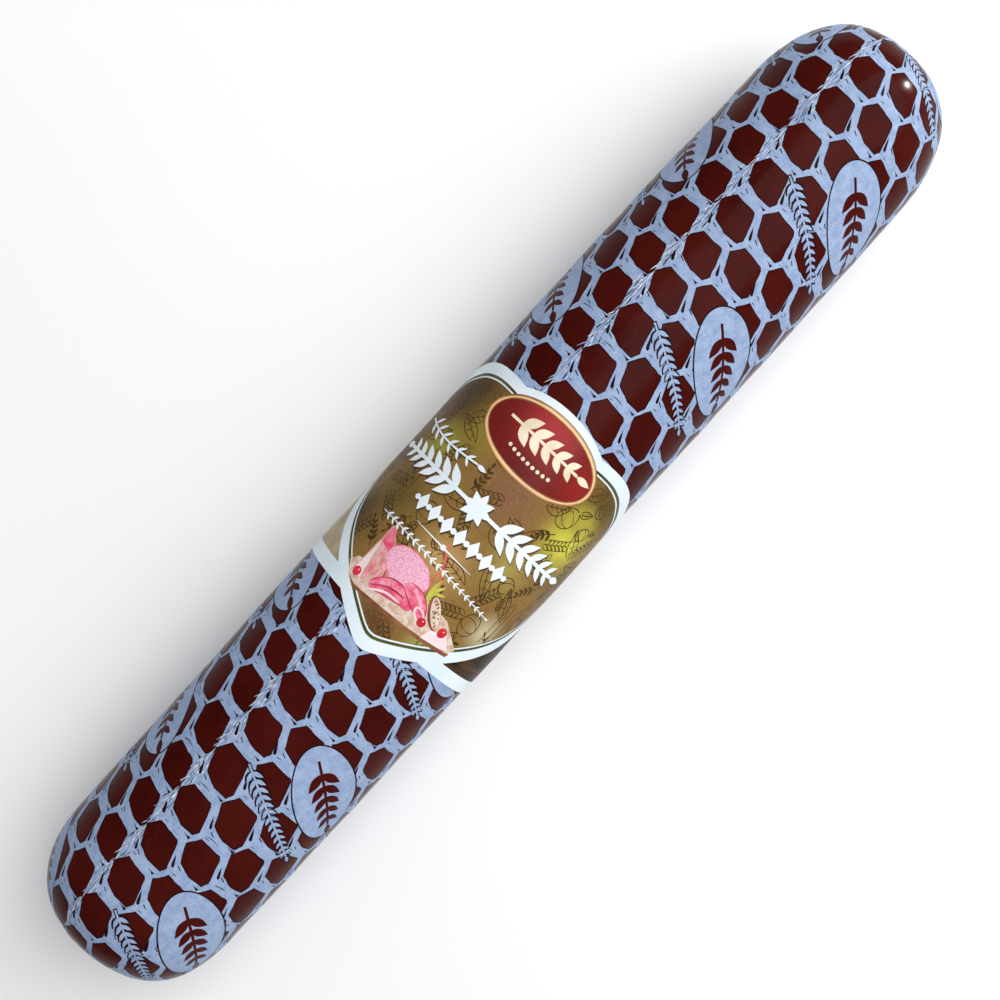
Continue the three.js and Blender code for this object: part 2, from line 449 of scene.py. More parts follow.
class Nodes:
    """A node tree, and the nodes that vary a colour or a value over it."""

    def __init__(self, tree):
        self.tree = tree

    def put(self, socket, value):
        """Gives a socket a value, or links it if the value is another node's output."""
        if isinstance(value, bpy.types.NodeSocket):
            self.tree.links.new(value, socket)
        else:
            socket.default_value = value

    def node(self, kind, output, inputs, **settings):
        """One output of a new node with these inputs and settings."""
        node = self.tree.nodes.new(kind)
        for name, value in settings.items():
            setattr(node, name, value)
        for name, value in inputs.items():
            self.put(node.inputs[name], value)
        return node.outputs[output]

    def place(self):
        """Print places as a vector, 1 unit to 100 mm."""
        return self.node("ShaderNodeUVMap", "UV", {}, uv_map="print")

    def solid_place(self):
        """Places in the sausage's own frame, in metres."""
        return self.node("ShaderNodeTexCoord", "Object", {})

    def noise(self, vector, scale, detail=2.0, roughness=0.5):
        """A noise value over the vector."""
        inputs = {"Vector": vector, "Scale": scale, "Detail": detail, "Roughness": roughness}
        return self.node("ShaderNodeTexNoise", "Fac", inputs)

    def vector_math(self, operation, output, first, second):
        """What an operation gives for two vectors."""
        return self.node("ShaderNodeVectorMath", output, {0: first, 1: second}, operation=operation)

    def stretch(self, vector, factors):
        """The vector with each axis scaled."""
        return self.vector_math("MULTIPLY", "Vector", vector, factors)

    def spread(self, value, low, high, to_low=0.0, to_high=1.0):
        """The value carried smoothly from one range to another."""
        inputs = {"Value": value, "From Min": low, "From Max": high, "To Min": to_low, "To Max": to_high}
        return self.node("ShaderNodeMapRange", "Result", inputs, interpolation_type="SMOOTHSTEP")

    def mix(self, factor, first, second):
        """A colour between two."""
        node = self.tree.nodes.new("ShaderNodeMix")
        node.data_type = "RGBA"
        self.put(node.inputs["Factor"], factor)
        first_colour, second_colour = [socket for socket in node.inputs if socket.type == "RGBA"]
        self.put(first_colour, first)
        self.put(second_colour, second)
        return next(socket for socket in node.outputs if socket.type == "RGBA")

    def blob(self, vector, centre, reach):
        """1 at a print place, falling to 0 at reach mm from it."""
        middle = (centre[0] / MM_PER_UV, centre[1] / MM_PER_UV, 0)
        away = self.vector_math("DISTANCE", "Value", vector, middle)
        return self.spread(away, 0.0, reach / MM_PER_UV, 1.0, 0.0)

    def patches(self, vector, ground, tints):
        """A ground colour with soft round patches: each a print place, a reach in mm and a colour."""
        shade = tint(*ground)
        for centre, reach, colour in tints:
            shade = self.mix(self.blob(vector, centre, reach), shade, tint(*colour))
        return shade


class Look(Nodes):
    """One Principled material."""

    def __init__(self, name, roughness, specular=0.5, metallic=0.0):
        self.material = bpy.data.materials.new(name)
        self.material.use_nodes = True
        super().__init__(self.material.node_tree)
        self.sockets = self.tree.nodes["Principled BSDF"].inputs
        self.put(self.sockets["Roughness"], roughness)
        self.put(self.sockets["Specular IOR Level"], specular)
        self.put(self.sockets["Metallic"], metallic)

    def colour(self, value):
        """Sets the surface colour."""
        self.put(self.sockets["Base Color"], value)

    def two_tone(self, value, low, high, first, second):
        """Colours the surface from one display colour to another as a value rises from low to high."""
        self.colour(self.mix(self.spread(value, low, high), tint(*first), tint(*second)))

    def dusted(self, base, value, low, high, most, colour):
        """Colours the surface with a base and, as a value rises from low to high, some of a colour."""
        self.colour(self.mix(self.spread(value, low, high, 0.0, most), base, tint(*colour)))

    def rough(self, value, low, high):
        """Varies the roughness with a noise value."""
        self.put(self.sockets["Roughness"], self.spread(value, 0.3, 0.7, low, high))

    def bump(self, height, strength):
        """Raises the surface by a height value, over a tenth of a millimetre."""
        inputs = {"Strength": strength, "Distance": 0.1 * MM, "Height": height}
        self.put(self.sockets["Normal"], self.node("ShaderNodeBump", "Normal", inputs))


def film_look():
    """Glossy dark-red casing film over the meat."""
    look = Look("casing_film", 0.17, specular=0.036)
    place = look.place()
    cloud = look.noise(place, 4.0, 3)
    grain = look.noise(place, 45.0, 2)
    base = look.mix(look.spread(cloud, 0.3, 0.7), tint(58, 11, 7), tint(71, 17, 12))
    look.dusted(base, grain, 0.45, 0.8, 0.3, (84, 24, 16))
    look.rough(cloud, 0.13, 0.2)
    look.bump(grain, 0.12)
    return look.material


def ink_look():
    """Pale blue-grey printing ink, mottled as it lies on the film."""
    look = Look("net_ink", 0.5, specular=0.12)
    place = look.place()
    mottle = look.noise(place, 30.0, 3, 0.65)
    speck = look.noise(place, 170.0, 2, 0.7)
    base = look.mix(look.spread(mottle, 0.3, 0.7), tint(134, 155, 190), tint(158, 176, 206))
    look.dusted(base, speck, 0.54, 0.72, 0.75, (104, 112, 148))
    look.rough(mottle, 0.42, 0.58)
    look.bump(speck, 0.2)
    return look.material


def dark_look():
    """The dark key lines of the print, and the painted shade of the seam's creases and cut edge."""
    look = Look("net_dark", 0.4, specular=0.04)
    look.two_tone(look.noise(look.place(), 60.0, 2), 0.3, 0.7, (22, 8, 16), (36, 13, 18))
    return look.material


def glint_look():
    """Painted highlight on the raised creases of the seam, where the pale ink shines."""
    look = Look("seam_glint", 0.25, specular=0.5)
    look.two_tone(look.noise(look.place(), 80.0, 2), 0.35, 0.65, (176, 186, 210), (232, 236, 246))
    return look.material


def print_look(name, first, second, scale=14.0, roughness=0.42):
    """A printed colour with a slow change and a fine grain."""
    look = Look(name, roughness, specular=0.12)
    place = look.place()
    look.two_tone(look.noise(place, scale, 3), 0.32, 0.68, first, second)
    look.bump(look.noise(place, 200.0, 1), 0.08)
    return look.material


FIELD_TINTS = [
    ((20, -36), 26, (64, 48, 24)), ((22, 30), 20, (88, 70, 28)), ((-6, -44), 18, (88, 70, 44)),
    ((-31, -36), 16, (58, 43, 24)), ((-8, 46), 18, (104, 86, 58)), ((-50, -3), 12, (96, 62, 38)),
    ((-18, -26), 14, (96, 80, 42)), ((2, -27), 11, (152, 146, 60)), ((12, -17), 12, (140, 124, 50)),
    ((4, 2), 17, (128, 88, 62)), ((-24, 0), 14, (182, 146, 92)), ((-12, 17), 12, (158, 140, 76)),
    ((6, 27), 15, (206, 204, 76)), ((13, 25), 9, (168, 156, 60)), ((-31, 27), 9, (190, 180, 146)),
    ((-45, 12), 7, (150, 150, 84)),
]
# Painted highlight and painted shade on the badge's red ground: each a print place, a reach in mm and a
# colour.
BADGE_PAINTED_LIGHT = [((28, -2), 17, (164, 52, 56)), ((20, 17), 12, (142, 36, 34)), ((11, -2), 9, (98, 29, 29))]


def field_look():
    """The olive and gold ground of the shield."""
    look = Look("label_field", 0.36, specular=0.05)
    place = look.place()
    grain = look.noise(place, 120.0, 2, 0.7)
    shade = look.patches(place, (132, 102, 54), FIELD_TINTS)
    worn = look.noise(place, 16.0, 4, 0.7)
    shade = look.mix(look.spread(worn, 0.48, 0.75, 0.0, 0.35), shade, tint(76, 54, 28))
    look.dusted(shade, grain, 0.45, 0.75, 0.22, (176, 152, 92))
    return look.material


def badge_look():
    """The red enamel-like ground of the badge, with painted highlight towards its upper side and painted
    shade below.
    """
    look = Look("badge_red", 0.32, specular=0.1)
    place = look.place()
    # The red ground with its painted highlight and painted shade.
    shade = look.patches(place, (110, 30, 27), BADGE_PAINTED_LIGHT)
    grain = look.noise(place, 90.0, 2)
    look.dusted(shade, grain, 0.45, 0.75, 0.25, (132, 42, 42))
    return look.material


def gold_look():
    """The coppery gold rim of the badge."""
    look = Look("badge_gold", 0.32, specular=0.5)
    shine = look.noise(look.stretch(look.place(), (1.0, 0.5, 1.0)), 12.0, 2)
    look.two_tone(shine, 0.35, 0.65, (154, 106, 58), (216, 168, 112))
    return look.material


def wood_look():
    """Printed brown wood behind the lower side of the label."""
    look = Look("label_wood", 0.42, specular=0.1)
    grain = look.noise(look.stretch(look.place(), (9.0, 1.2, 1.0)), 6.0, 4, 0.6)
    look.two_tone(grain, 0.35, 0.65, (30, 18, 8), (78, 52, 24))
    return look.material


def meat_look(name, pale, red, scale):
    """Sliced meat: pink with paler flecks."""
    look = Look(name, 0.42, specular=0.12)
    look.two_tone(look.noise(look.place(), scale, 3, 0.7), 0.36, 0.64, red, pale)
    return look.material


def clip_look():
    """Bare drawn aluminium wire with fine scratches along it."""
    look = Look("clip_wire", 0.34, specular=0.5, metallic=1.0)
    scratch = look.noise(look.stretch(look.solid_place(), (300.0, 2500.0, 2500.0)), 1.0, 3, 0.6)
    look.two_tone(scratch, 0.3, 0.7, (176, 178, 182), (214, 216, 220))
    look.rough(scratch, 0.26, 0.44)
    look.bump(scratch, 0.3)
    return look.material


def tail_look():
    """Gathered film: the red film and its print crowded into streaks."""
    look = Look("casing_tail", 0.36, specular=0.4)
    streaks = look.noise(look.stretch(look.solid_place(), (70.0, 420.0, 420.0)), 1.0, 2, 0.5)
    look.two_tone(streaks, 0.44, 0.54, (62, 15, 12), (150, 164, 196))
    look.rough(streaks, 0.3, 0.45)
    return look.material


def floor_look():
    """A plain pale table top."""
    look = Look("floor", 0.7, specular=0.2)
    look.two_tone(look.noise(look.solid_place(), 3.0, 2), 0.3, 0.7, (243, 243, 243), (247, 247, 247))
    return look.material


# ---------------------------------------------------------------- the casing
def net_cells():
    """The net's cells: centre u and v on the flat film, and how much wider than the others."""
    cells = []
    reach = PROFILE_U[-1] + CELL_PITCH
    for row in range(-ROWS_ABOVE_SEAM, ROWS - ROWS_ABOVE_SEAM):
        v = FIRST_CELL[1] + ROW_STEP * row
        slide = ROW_SLIDE * row
        if row < 0:
            v += GIRTH + ROW_STEP - SEAM_ROW_STEP
            slide += SEAM_ROW_SLIDE
        for column in range(-20, 40):
            turns, place_in_turn = divmod(column + row, ROLLER_CELLS)
            widening = ROLLER_GAP if place_in_turn == 0 else 0.0
            u = FIRST_CELL[0] + slide + CELL_PITCH * column + ROLLER_GAP * turns
            if place_in_turn:
                u += ROLLER_GAP / 2
            if abs(u) < reach:
                cells.append((u, v, widening))
    return cells


def wobble(chance):
    """A small shift of one corner of a cell, as the ink runs."""
    return chance.uniform(-CELL_WOBBLE, CELL_WOBBLE)


def net_shapes(low, high):
    """The whole print of the film: net, key lines and ovals, with the seam's painted shade and highlights,
    painted in order.
    """
    chance = random.Random(5)
    corners = [low, (high[0], low[1]), high, (low[0], high[1])]
    shapes = [("ink", densify(corners, 1.3))] + seam_wrinkles(low, high, chance)

    for u, v, widening in net_cells():
        wide = 1 + widening / CELL_WIDTH
        even = densify([(p * wide, q) for p, q in CELL_OUTLINE], CELL_EDGE)
        outline = [(p + wobble(chance), q + wobble(chance)) for p, q in even]
        window = [(p * (1 - CELL_RIM / CELL_HALF[0]), q * (1 - CELL_RIM / CELL_HALF[1])) for p, q in outline]
        shapes.append(("dark", turned(outline, (u, v))))
        shapes.append(("film", turned(window, (u, v))))
        for slit in SLITS:
            shift = (u + chance.uniform(-0.15, 0.15), v + chance.uniform(-0.2, 0.2))
            outline = [(p + widening / 2 * (p > 0), q) for p, q in slit]
            shapes.append(("dark", turned(outline, shift, 0.0, chance.uniform(0.9, 1.1))))
        if widening:
            tick = [(u - 8.2, v - 3.6), (u - 8.0, v - 1.6), (u - 8.3, v + 0.9)]
            shapes.append(("dark", stroke(tick, [0.1, 0.32, 0.1])))
    for row_u, row_v in OVAL_ROWS:
        v = row_v if row_v > low[1] else row_v + GIRTH
        for count in range(-6, 5):
            u = row_u + OVAL_STEP * count + ROLLER_GAP / 3 * count
            if abs(u) < PROFILE_U[-1] - 8:
                shapes.extend(oval_shapes((u, v)))
    shapes += seam_edge(low, high, chance)
    within = []
    for kind, outline in shapes:
        part = clipped(outline, low, high)
        if abs(enclosed_area(part)) > LEAST_AREA:
            within.append((kind, densify(part, LONGEST_EDGE)))
    return within


def seam_shows(u):
    """Whether the seam is clear of the label at u."""
    return not LABEL_HIDES_SEAM[0] < u < LABEL_HIDES_SEAM[1]


def seam_wrinkles(low, high, chance):
    """Fine creases of the inked film along its glued seam, as strokes of painted shade and painted
    highlight.
    """
    shapes = []
    u = low[0] + 3
    while u < high[0] - 3:
        for seam_v, side in ((low[1], 1), (high[1], -1)):
            if seam_shows(u):
                away = chance.uniform(0.15, 2.6) * side
                length = chance.uniform(1.4, 4.4)
                lean = chance.uniform(-0.34, 0.12) * side
                width = chance.uniform(0.14, 0.42)
                # Each crease is a stroke of painted shade (dark) or of painted highlight (glint).
                kind = "dark" if chance.random() < 0.45 else "glint"
                spine = [(0, 0), (length * 0.4, 0.1 * side), (length, 0)]
                crease = stroke(spine, [0.04, width, 0.03])
                shapes.append((kind, turned(crease, (u, seam_v + away), lean)))
        u += chance.uniform(0.5, 1.1)
    return shapes


def seam_edge(low, high, chance):
    """The film's cut edge: a broken line of painted highlight with a broken line of painted shade beside it.
    """
    shapes = []
    u = low[0] + 3
    while u < high[0] - 5:
        length = chance.uniform(0.5, 3.2)
        if seam_shows(u):
            # Painted highlight along the cut edge, then painted shade beside it.
            bright_v = low[1] + 0.22
            line = [(u, bright_v), (u + length / 2, bright_v + 0.06), (u + length, bright_v)]
            shapes.append(("glint", stroke(line, [0.05, chance.uniform(0.12, 0.26), 0.05])))
            dark_v = low[1] + 0.55
            line = [(u + 0.4, dark_v), (u + length, dark_v + 0.05), (u + length * 1.5, dark_v)]
            shapes.append(("dark", stroke(line, [0.06, chance.uniform(0.14, 0.26), 0.06])))
            # Spikes of ink or of painted highlight reaching from the edge into the cells.
            spike = [(0, 0), (-1.2, 0.1), (-chance.uniform(2.0, 4.5), 0.3)]
            lean = chance.uniform(0.15, 0.6)
            kind = chance.choice(["ink", "glint"])
            shapes.append((kind, turned(stroke(spike, [0.1, 0.4, 0.05]), (u, high[1] - 0.3), lean)))
        u += length + chance.uniform(0.3, 2.6)
    return shapes


def oval_shapes(centre):
    """One pale oval of the print with a dark rim and a plain sprig, and the row of leaves beside it."""
    inner = (OVAL_HALF[0] - OVAL_RIM, OVAL_HALF[1] - OVAL_RIM)
    start = (centre[0] + OVAL_ROW_START[0], centre[1] + OVAL_ROW_START[1])
    end = (centre[0] + OVAL_ROW_END[0], centre[1] + OVAL_ROW_END[1])
    heading = math.atan2(end[1] - start[1], end[0] - start[0])
    middle = ((start[0] + end[0]) / 2, (start[1] + end[1]) / 2)
    length = math.dist(start, end)
    shapes = sprig("dark", middle, heading, length, 4.6, 13, 1.3, 0.0, 0.52)
    shapes += sprig("ink", middle, heading, length - 0.8, 3.9, 13, 0.6, 0.0, 0.36)
    shapes.append(("dark", ellipse(centre, OVAL_HALF, OVAL_TURN, 72)))
    shapes.append(("ink", ellipse(centre, inner, OVAL_TURN, 72)))
    shapes += sprig("film", centre, OVAL_TURN + math.pi, 27.0, 8.0, 5, 0.9)
    return shapes


def casing_fill(low, high, edge_places):
    """Places that keep the casing's triangles small: finer at the gathered ends and along the seam."""
    gather_u = 168.0
    fine, coarse = 1.3, 2.4
    fill = fill_grid((-gather_u, low[1]), (gather_u, high[1]), coarse)
    fill += fill_grid(low, (-gather_u, high[1]), fine)
    fill += fill_grid((gather_u, low[1]), high, fine)
    for away in (0.25, 0.55, 0.9, 1.4):
        for u in np.arange(low[0] + 0.5, high[0], 0.8):
            fill.append((u, low[1] + away))
            fill.append((u, high[1] - away))
    for p, q in edge_places:
        fill.append((p, high[1] if q == low[1] else low[1]))
    return fill


def weld_seam(points, outward, low_v, high_v):
    """Joins the film's long edges: which places stay, which one each place became, and the faces."""
    round_the_skin = np.where(points[:, 1] > high_v - SAME_PLACE, low_v, points[:, 1])
    keys = np.round(np.stack([points[:, 0], round_the_skin], axis=1), 3)
    _, kept, became = np.unique(keys, axis=0, return_index=True, return_inverse=True)
    became = became.ravel()
    welded = became[outward]
    whole = (welded[:, 0] != welded[:, 1]) & (welded[:, 1] != welded[:, 2]) & (welded[:, 2] != welded[:, 0])
    outward, welded = outward[whole], welded[whole]
    _, twin, times = np.unique(np.sort(welded, axis=1), axis=0, return_inverse=True, return_counts=True)
    single = times[twin.ravel()] == 1
    return kept, became, outward[single], welded[single]


def closed_film(points, outward, low, high):
    """The film as one closed skin, joined at its seam and closed at both ends inside the clips."""
    normals = surface_normals(on_skin, points[:, 0], points[:, 1], 0.0)
    kept, became, outward, welded = weld_seam(points, outward, low[1], high[1])
    positions = on_skin(points[:, 0], points[:, 1], 0.0)[kept]
    corner_normals, corner_places = normals[outward], points[outward]
    for edge_u, side in ((low[0], -1), (high[0], 1)):
        at_edge = np.abs(points[:, 0] - edge_u) < SAME_PLACE
        ring = np.where(at_edge & (points[:, 1] < high[1] - SAME_PLACE))[0]
        rim = became[ring[np.argsort(points[ring, 1], kind="stable")]].tolist()
        hub = len(positions)
        positions = np.vstack([positions, positions[rim].mean(axis=0)])
        cap = [(hub, a, b) if side > 0 else (hub, b, a) for a, b in zip(rim, rim[1:] + rim[:1])]
        welded = np.vstack([welded, np.array(cap)])
        facing = np.tile((float(side), 0.0, 0.0), (len(cap), 3, 1))
        corner_normals = np.concatenate([corner_normals, facing])
        corner_places = np.concatenate([corner_places, np.tile((edge_u, 0.0), (len(cap), 3, 1))])
    return make_mesh("casing_film", positions, welded, film_look(), corner_normals, corner_places)


def make_casing():
    """The whole film as one closed skin, with the printed net and key lines and the seam's painted
    highlights lying on it.
    """
    low = (float(PROFILE_U[0]), SEAM_V)
    high = (float(PROFILE_U[-1]), SEAM_V + GIRTH)
    shapes = net_shapes(low, high)
    on_edge = [place for _, outline in shapes[1:] for place in outline if place[1] in (low[1], high[1])]
    arranged = arrange(shapes, casing_fill(low, high, on_edge))
    film = closed_film(arranged[0], np.array(arranged[1])[:, ::-1], low, high)
    add_piece(film, "casing", "sausage")
    printed_piece("net_ink", pick(arranged, {"ink"}), INK_LIFT, ink_look(), "casing")
    # The dark key lines, with the painted shade of the seam.
    printed_piece("net_dark", pick(arranged, {"dark"}), INK_LIFT, dark_look(), "casing")
    # The seam's painted highlights.
    printed_piece("seam_glints", pick(arranged, {"glint"}), GLINT_LIFT, glint_look(), "casing")


# ---------------------------------------------------------------- the label
def smooth_line(points, step):
    """A smooth line through points, with places about step apart."""
    line = []
    count = len(points)
    for i in range(count - 1):
        before, start = points[max(i - 1, 0)], points[i]
        end, after = points[i + 1], points[min(i + 2, count - 1)]
        pieces = max(1, round(math.dist(start, end) / step))
        for j in range(pieces):
            t = j / pieces
            place = []
            for b, s, e, a in zip(before, start, end, after):
                bend = (2 * b - 5 * s + 4 * e - a) * t * t + (3 * s - b - 3 * e + a) * t ** 3
                place.append(s + ((e - b) * t + bend) / 2)
            line.append(tuple(place))
    line.append(points[-1])
    return line


def shield(size=1.0):
    """Outline of the shield, shrunk towards its centre by size."""
    centre_v = SHIELD_CENTRE[1]
    left = [(u, centre_v - away) for away, u in reversed(SHIELD_HALF)]
    right = [(u, centre_v + away) for away, u in SHIELD_HALF[1:]]
    outline = smooth_line(left + right, 1.5)
    moved = [(u - SHIELD_CENTRE[0], v - centre_v) for u, v in outline]
    return turned(moved, SHIELD_CENTRE, 0.0, size)


def drawn(places, width):
    """A thin printed line of one width."""
    return ("line", stroke(places, [width] * len(places)))


def midrib(points, width):
    """A thin printed line through points, finer at both ends."""
    line = smooth_line(points, 2.0)
    widths = [width * min(1.0, 0.4 + 3 * min(i, len(line) - 1 - i) / len(line)) for i in range(len(line))]
    return ("line", stroke(line, widths))


def line_leaf(centre, angle, length, width, pen):
    """A leaf drawn in line: its edge, its midrib and its side veins."""
    edge = turned(leaf(length, width, 9), centre, angle)
    half = len(edge) // 2
    shapes = [drawn(edge[:half + 1], pen), drawn(edge[half:], pen)]
    shapes.append(midrib(turned([(0, 0), (length / 2, 0.15), (length, 0)], centre, angle), pen))
    for i in range(1, 5):
        t = i / 5
        reach = width * 0.33 * math.sin(math.pi * t)
        for side in (-1, 1):
            vein = [(length * t, 0), (length * t + reach * 0.8, side * reach)]
            shapes.append(drawn(turned(vein, centre, angle), pen * 0.8))
    return shapes


def line_fruit(place, turn, size, pen):
    """A round fruit with a leaf, drawn in line."""
    shapes = []
    for half, width in (((size, size * 0.8), pen), ((size * 0.5, size * 0.8), pen * 0.8)):
        shapes.append(drawn(turned(ellipse((0, 0), half, 0.0, 28), place, turn), width))
    return shapes + line_leaf(turned([(size, 0)], place, turn)[0], turn + 0.4, size * 1.3, size * 0.6, pen)


def line_drawings():
    """The faint line drawings of leaves, fruit, ears and kitchen knives all over the shield."""
    chance = random.Random(23)
    pen = 0.34
    shapes = []
    for blade_v in (27.5, 32.5):
        blade = [(-34, 0), (-20, 0), (-18, 1.2), (-20, 2.6), (-34, 2.2), (-40, 1.8), (-40, 0.4)]
        shapes.append(drawn([(p, q + blade_v) for p, q in blade], pen))
    spacing = 8.6
    u = -50.0
    while u < 30:
        v = -50.0 + chance.uniform(0, spacing)
        while v < 48:
            place = (u + chance.uniform(-2, 2), v + chance.uniform(-2, 2))
            turn = chance.uniform(0, 2 * math.pi)
            drawing = chance.choice(["leaf", "leaf", "fruit", "sprig", "ear"])
            if drawing == "leaf":
                shapes += line_leaf(place, turn, chance.uniform(8, 12), chance.uniform(3.5, 5.5), pen)
            elif drawing == "fruit":
                shapes += line_fruit(place, turn, chance.uniform(2.6, 4.2), pen)
            elif drawing == "sprig":
                shapes += sprig("line", place, turn, 9, 2.8, 4, pen, 0.8)
            else:
                shapes += line_ear(place, turn, pen)
            v += spacing
        u += spacing
    return shapes


def line_ear(centre, angle, pen):
    """An ear of grain drawn in line."""
    shapes = []
    for i in range(6):
        for side in (-1, 1):
            grain = turned(leaf(3.0, 1.5, 5), (1.5 * i - 4, side * 0.25), side * 0.5)
            shapes.append(drawn(turned(grain, centre, angle), pen * 0.9))
    return shapes


def food_picture():
    """The picture of sliced sausage on a board, with berries and a sprig."""
    edge = [(-45.2, -19.2), (-47.4, -15), (-45.8, 4.4), (-43.8, 21.4),
            (-42.4, 22.0), (-44.4, 4.4), (-46.0, -15)]
    board = [(-45.5, -18.7), (-46.4, -15), (-44.6, 4.4), (-42.6, 21.1), (-40.4, 22.6), (-35.2, 13.6),
             (-34.5, 5.5), (-39.6, -20.2), (-42.2, -22)]
    shapes = [("board_edge", edge), ("board", board)] + folded_slice()
    shapes.append(("stalk", stroke([(-31.5, 5.8), (-26, 2.6), (-18.2, -1.8)], [0.9, 1.0, 0.6])))
    shapes.append(("stalk", stroke([(-33, 3.5), (-28.5, 1.6), (-24.0, 2.4)], [0.3, 0.4, 0.3])))
    for angle in (0.1, 0.6, 1.1, 1.6, 2.1, 2.6):
        shapes.append(("green", turned(leaf(5.4, 1.1), (-32.6, 3.6), angle)))
    shapes.append(("slice_rim", ellipse((-32.3, -5.6), (5.6, 8.3), 0.12)))
    shapes.append(("slice", ellipse((-32.3, -5.6), (5.2, 7.9), 0.12)))
    shapes += rolled_slices() + seeded_fruit((-35.8, 9.3), math.radians(140))
    shapes.append(("fat", [(-44.0, 10.6), (-43.0, 17.2), (-42.0, 20.6), (-38.4, 16.6), (-40.6, 11.6)]))
    for (u, v), size in (((-43.1, -17.2), 1.55), ((-40.6, 7.9), 1.5), ((-38.9, 15.0), 1.6)):
        shapes.append(("deep_red", ellipse((u, v), (size, size * 0.95), 0.3, 20)))
        shapes.append(("berry", ellipse((u + 0.15, v + 0.1), (size * 0.84, size * 0.8), 0.3, 20)))
        shapes.append(("fat", ellipse((u + 0.6, v + 0.3), (0.3, 0.2), 0.3, 8)))
    return shapes


def seeded_fruit(centre, angle):
    """A halved fruit full of seeds."""
    shapes = [("seed_rim", ellipse((centre[0] - 0.2, centre[1] - 0.3), (5.3, 2.1), angle))]
    shapes.append(("seed", ellipse(centre, (4.8, 1.6), angle)))
    chance = random.Random(11)
    for _ in range(22):
        t = chance.uniform(-1, 1)
        across = chance.uniform(-1.1, 1.1) * (1 - t * t) ** 0.5
        spot = turned([(4.2 * t, across)], centre, angle)[0]
        shapes.append(("seed_rim", ellipse(spot, (0.36, 0.24), t, 8)))
    return shapes


def folded_slice():
    """A large thin slice folded to a peak, with a pale fat edge and soft creases."""
    shapes = [("wedge", [(-44.0, -19.1), (-36.5, -18.6), (-26.1, -18.4), (-25.2, -16.8), (-27.6, -15.4),
                         (-30.2, -12.6), (-36, -9.0), (-41.1, -7.4), (-44.0, -13.4)])]
    shapes.append(("fat", [(-44.2, -18.8), (-37, -18.3), (-31.2, -18.0), (-36.4, -16.7), (-43.9, -15.0)]))
    shapes.append(("roll", [(-31.5, -17.6), (-26.2, -17.9), (-26.4, -16.6), (-30.6, -13.4), (-33.2, -12.6)]))
    shapes += swelling("slice_rim", [(-43.4, -14.6), (-38, -14.2), (-31.8, -15.4)], 1.0)
    shapes += swelling("slice_rim", [(-42.4, -11.4), (-38.6, -11.4), (-34.4, -12.4)], 0.8)
    shapes += swelling("deep_red", [(-42.6, -9.8), (-39.4, -9.4), (-36.0, -10.4)], 0.5)
    return shapes


def swelling(kind, points, width):
    """A band through points, as wide as width halfway and narrow at both ends."""
    line = smooth_line(points, 0.8)
    widths = [0.2 + (width - 0.2) * math.sin(math.pi * i / (len(line) - 1)) ** 0.6 for i in range(len(line))]
    return [(kind, stroke(line, widths))]


def rolled_slices():
    """Thin slices rolled along the board: a folded one, and a tube showing its pale open end."""
    folded = [(-43.2, -11.6), (-39.9, -6.4), (-39.2, -1.0), (-40.6, 3.0)]
    tube = [(-35.4, -3.2), (-36.2, 1.4), (-38.6, 5.6), (-40.6, 7.4)]
    shapes = swelling("deep_red", folded, 6.0) + swelling("roll", folded, 5.2)
    shapes += swelling("slice_rim", [(p + 1.2, q + 0.5) for p, q in folded], 1.5)
    shapes += swelling("deep_red", [(p + 0.2, q + 0.5) for p, q in folded[:3]], 0.6)
    shapes += swelling("fat", [(p - 1.7, q + 0.3) for p, q in folded[:3]], 0.7)
    shapes += swelling("deep_red", tube, 5.4) + swelling("roll", tube, 4.6)
    shapes += swelling("slice_rim", [(p + 1.0, q) for p, q in tube], 1.3)
    for kind, half in (("fat", (1.5, 2.5)), ("slice_rim", (1.1, 2.0)), ("roll", (0.7, 1.4))):
        shapes.append((kind, ellipse((-39.4, 5.9), half, 0.5, 24)))
    return shapes


def with_shadow(shapes):
    """Pale shapes with a dark edge showing below them."""
    cast = [("shadow", [(p - 0.45, q + 0.4) for p, q in outline]) for _, outline in shapes]
    return cast + shapes


def garland(middle, half_length, leaf_length, pairs):
    """Two laurel branches pointing away from a rosette, in white."""
    shapes = []
    for side in (-1, 1):
        centre = (middle[0], middle[1] + side * (half_length / 2 + 2.2))
        away = side * math.pi / 2
        shapes += sprig("pale", centre, away, half_length - 4, leaf_length, pairs, 1.2, 0.0, 0.36)
    for i in range(8):
        petal = leaf(leaf_length * 0.62, leaf_length * 0.3)
        shapes.append(("pale", turned(petal, middle, i * math.pi / 4)))
    shapes.append(("pale", ellipse(middle, (1.3, 1.3), 0, 20)))
    return shapes


def bead_row(u, v_low, v_high, size, count):
    """A row of lozenges with dots between them."""
    shapes = []
    pitch = (v_high - v_low) / (2 * count)
    reach = pitch * 0.72
    for i in range(2 * count + 1):
        v = v_low + pitch * i
        if i % 2:
            shapes.append(("pale", [(u - size, v), (u, v + reach), (u + size, v), (u, v - reach)]))
        else:
            shapes.append(("pale", ellipse((u, v), (size * 0.3, size * 0.3), 0, 14)))
    return shapes


def badge():
    """The red oval badge in its coppery rim, with a pale sprig and a row of dots."""
    shapes = []
    for kind, shrink in BADGE_RINGS:
        half = (BADGE_HALF[0] - shrink, BADGE_HALF[1] - shrink)
        shapes.append((kind, ellipse(BADGE_CENTRE, half, 0.0, 96)))
    middle = (BADGE_CENTRE[0] + 1.8, BADGE_CENTRE[1])
    shapes += sprig("badge_pale", middle, math.pi / 2, 27, 7.4, 5, 0.9, 0.0, 0.46)
    for i in range(-4, 5):
        place = (BADGE_CENTRE[0] - 5.6 + 0.045 * i * i, BADGE_CENTRE[1] + 1.9 * i)
        shapes.append(("badge_pale", ellipse(place, (0.62, 0.62), 0, 12)))
    return shapes


